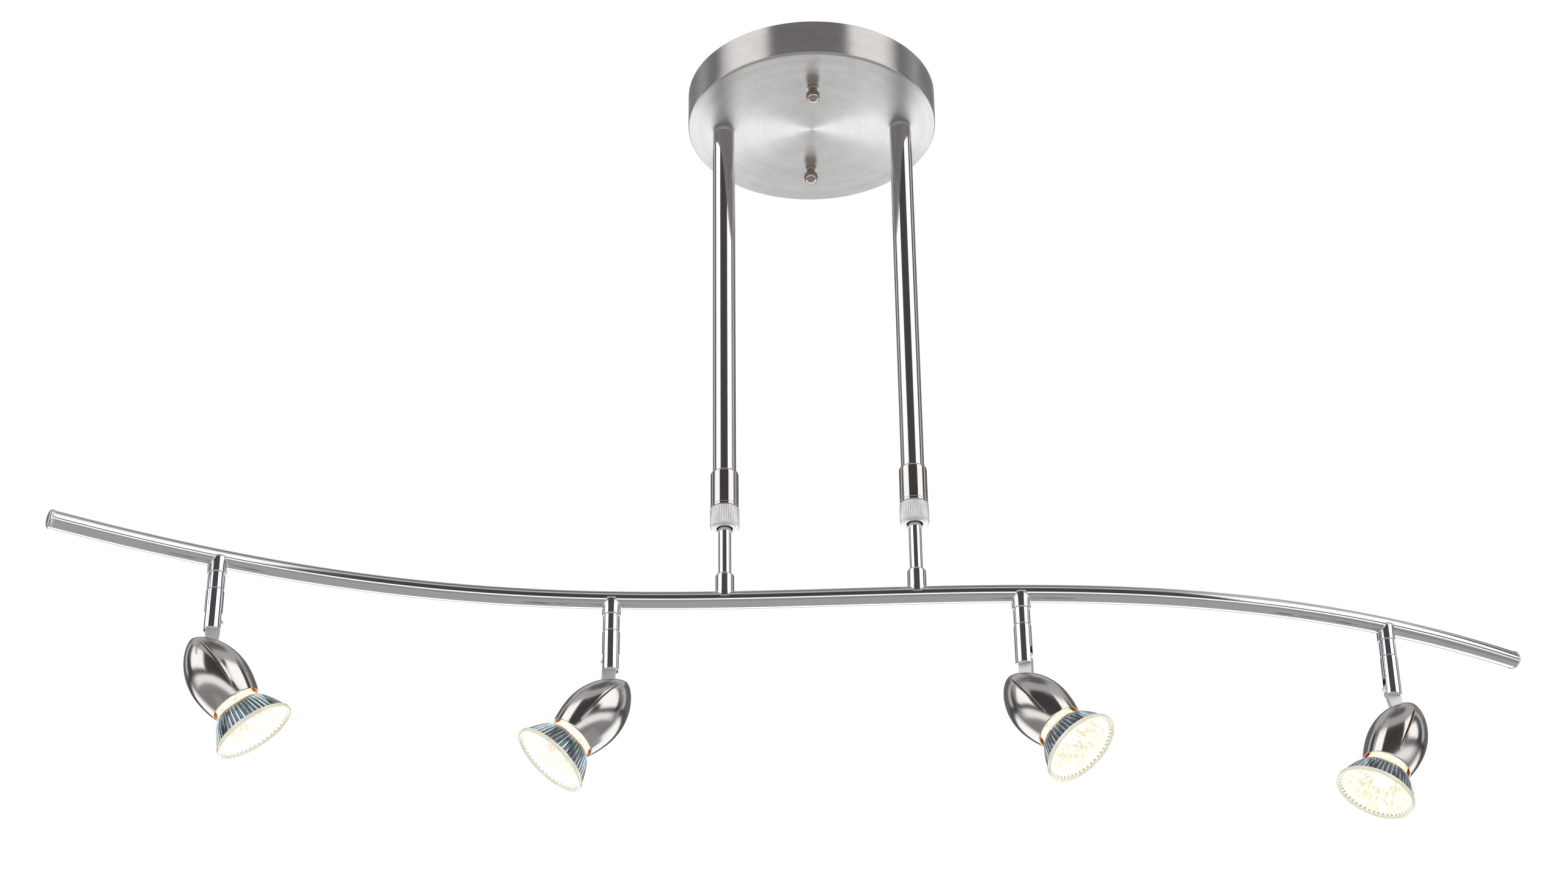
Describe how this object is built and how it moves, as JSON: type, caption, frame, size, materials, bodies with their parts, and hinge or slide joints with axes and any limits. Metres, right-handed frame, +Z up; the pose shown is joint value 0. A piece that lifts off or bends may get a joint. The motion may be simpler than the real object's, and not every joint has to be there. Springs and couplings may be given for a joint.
{
  "type": "ceiling spotlight bar",
  "caption": "Ceiling light with a round canopy, twin telescoping drop rods and an S-shaped bar that carries aimable reflector spots.",
  "frame": {"origin": "centre of the mounting strap's top face, which lies on the ceiling", "axes": "+Z up into the ceiling, +X along the bar towards its right end, +Y from the front ball nut towards the back one"},
  "size_m": [0.8803, 0.2913, 0.5096],
  "materials": {
    "brushed_nickel": "brushed, nickel-plated",
    "satin_steel": "satin",
    "chrome": "mirror-polished plating",
    "zinc_steel": "zinc-plated",
    "green_screw": "green earth-screw coating",
    "steatite": "unglazed ceramic",
    "lamp_glass": "faceted mirror-coated glass",
    "lens_glass": "clear glass"
  },
  "bodies": {
    "ceiling_frame": {"canopy": "brushed_nickel", "mounting_strap": "zinc_steel", "ground_screw": "green_screw", "canopy_stud_front": "zinc_steel", "canopy_stud_back": "zinc_steel", "ball_cap_nut_front": "chrome", "ball_cap_nut_back": "chrome", "rod_nipple_left": "satin_steel", "rod_nipple_right": "satin_steel", "nipple_nut_left": "zinc_steel", "nipple_nut_right": "zinc_steel", "outer_tube_left": "satin_steel", "outer_tube_right": "satin_steel", "coupling_sleeve_left": "brushed_nickel", "coupling_sleeve_right": "brushed_nickel"},
    "knurled_nut_left": {"knurled_nut_left": "satin_steel"},
    "knurled_nut_right": {"knurled_nut_right": "satin_steel"},
    "bar": {"inner_rod_left": "chrome", "inner_rod_right": "chrome", "rod_boss_left": "satin_steel", "rod_boss_right": "satin_steel", "wave_bar": "satin_steel", "end_cap_left": "chrome", "end_cap_right": "chrome", "head_1_boss": "satin_steel", "head_1_collar": "chrome", "head_2_boss": "satin_steel", "head_2_collar": "chrome", "head_3_boss": "satin_steel", "head_3_collar": "chrome", "head_4_boss": "satin_steel", "head_4_collar": "chrome"},
    "stem_1": {"head_1_stem": "chrome", "head_1_tilt_pin": "zinc_steel"},
    "shell_1": {"head_1_knuckle": "chrome", "head_1_shell": "brushed_nickel", "head_1_lamp_socket": "steatite"},
    "lamp_1": {"head_1_lamp": "lamp_glass", "head_1_lens": "lens_glass"},
    "stem_2": {"head_2_stem": "chrome", "head_2_tilt_pin": "zinc_steel"},
    "shell_2": {"head_2_knuckle": "chrome", "head_2_shell": "brushed_nickel", "head_2_lamp_socket": "steatite"},
    "lamp_2": {"head_2_lamp": "lamp_glass", "head_2_lens": "lens_glass"},
    "stem_3": {"head_3_stem": "chrome", "head_3_tilt_pin": "zinc_steel"},
    "shell_3": {"head_3_knuckle": "chrome", "head_3_shell": "brushed_nickel", "head_3_lamp_socket": "steatite"},
    "lamp_3": {"head_3_lamp": "lamp_glass", "head_3_lens": "lens_glass"},
    "stem_4": {"head_4_stem": "chrome", "head_4_tilt_pin": "zinc_steel"},
    "shell_4": {"head_4_knuckle": "chrome", "head_4_shell": "brushed_nickel", "head_4_lamp_socket": "steatite"},
    "lamp_4": {"head_4_lamp": "lamp_glass", "head_4_lens": "lens_glass"}
  },
  "joints": [
    {"name": "bar_slide", "type": "slide", "parent": "ceiling_frame", "child": "bar", "axis": [0, 0, 1], "range_m": [-0.2, 0.03]},
    {"name": "knurled_nut_turn_left", "type": "hinge", "parent": "ceiling_frame", "child": "knurled_nut_left", "pos_m": [-0.059, -0.00366, -0.326], "axis": [0, 0, 1], "range_deg": [0, 270]},
    {"name": "knurled_nut_turn_right", "type": "hinge", "parent": "ceiling_frame", "child": "knurled_nut_right", "pos_m": [0.059, 0.00317, -0.326], "axis": [0, 0, 1], "range_deg": [0, 270]},
    {"name": "head_1_pan", "type": "hinge", "parent": "bar", "child": "stem_1", "pos_m": [-0.354, -0.09049, -0.412], "axis": [0, 0, 1], "range_deg": [-170, 170]},
    {"name": "head_1_tilt", "type": "hinge", "parent": "stem_1", "child": "shell_1", "pos_m": [-0.354, -0.09049, -0.4278], "axis": [0.2639, -0.9646, 0], "range_deg": [-75.2, 54.8]},
    {"name": "head_1_lamp_twist", "type": "hinge", "parent": "shell_1", "child": "lamp_1", "pos_m": [-0.35067, -0.08958, -0.4573], "axis": [-0.556, -0.1521, 0.8171], "range_deg": [0, 15]},
    {"name": "head_2_pan", "type": "hinge", "parent": "bar", "child": "stem_2", "pos_m": [-0.128, -0.01125, -0.412], "axis": [0, 0, 1], "range_deg": [-170, 170]},
    {"name": "head_2_tilt", "type": "hinge", "parent": "stem_2", "child": "shell_2", "pos_m": [-0.128, -0.01125, -0.4278], "axis": [-0.2113, 0.9774, 0], "range_deg": [-80.1, 49.9]},
    {"name": "head_2_lamp_twist", "type": "hinge", "parent": "shell_2", "child": "lamp_2", "pos_m": [-0.13383, -0.01251, -0.4569], "axis": [0.6296, 0.1361, 0.7649], "range_deg": [0, 15]},
    {"name": "head_3_pan", "type": "hinge", "parent": "bar", "child": "stem_3", "pos_m": [0.122, 0.00835, -0.412], "axis": [0, 0, 1], "range_deg": [-170, 170]},
    {"name": "head_3_tilt", "type": "hinge", "parent": "stem_3", "child": "shell_3", "pos_m": [0.122, 0.00835, -0.4278], "axis": [-0.3223, -0.9466, 0], "range_deg": [-77.8, 52.2]},
    {"name": "head_3_lamp_twist", "type": "hinge", "parent": "shell_3", "child": "lamp_3", "pos_m": [0.12653, 0.00681, -0.45712], "axis": [-0.5802, 0.1975, 0.7902], "range_deg": [0, 15]},
    {"name": "head_4_pan", "type": "hinge", "parent": "bar", "child": "stem_4", "pos_m": [0.348, 0.07694, -0.412], "axis": [0, 0, 1], "range_deg": [-170, 170]},
    {"name": "head_4_tilt", "type": "hinge", "parent": "stem_4", "child": "shell_4", "pos_m": [0.348, 0.07694, -0.4278], "axis": [-0.3007, 0.9537, 0], "range_deg": [-66.6, 63.4]},
    {"name": "head_4_lamp_twist", "type": "hinge", "parent": "shell_4", "child": "lamp_4", "pos_m": [0.34895, 0.07724, -0.45749], "axis": [0.427, 0.1346, 0.8942], "range_deg": [0, 15]}
  ]
}
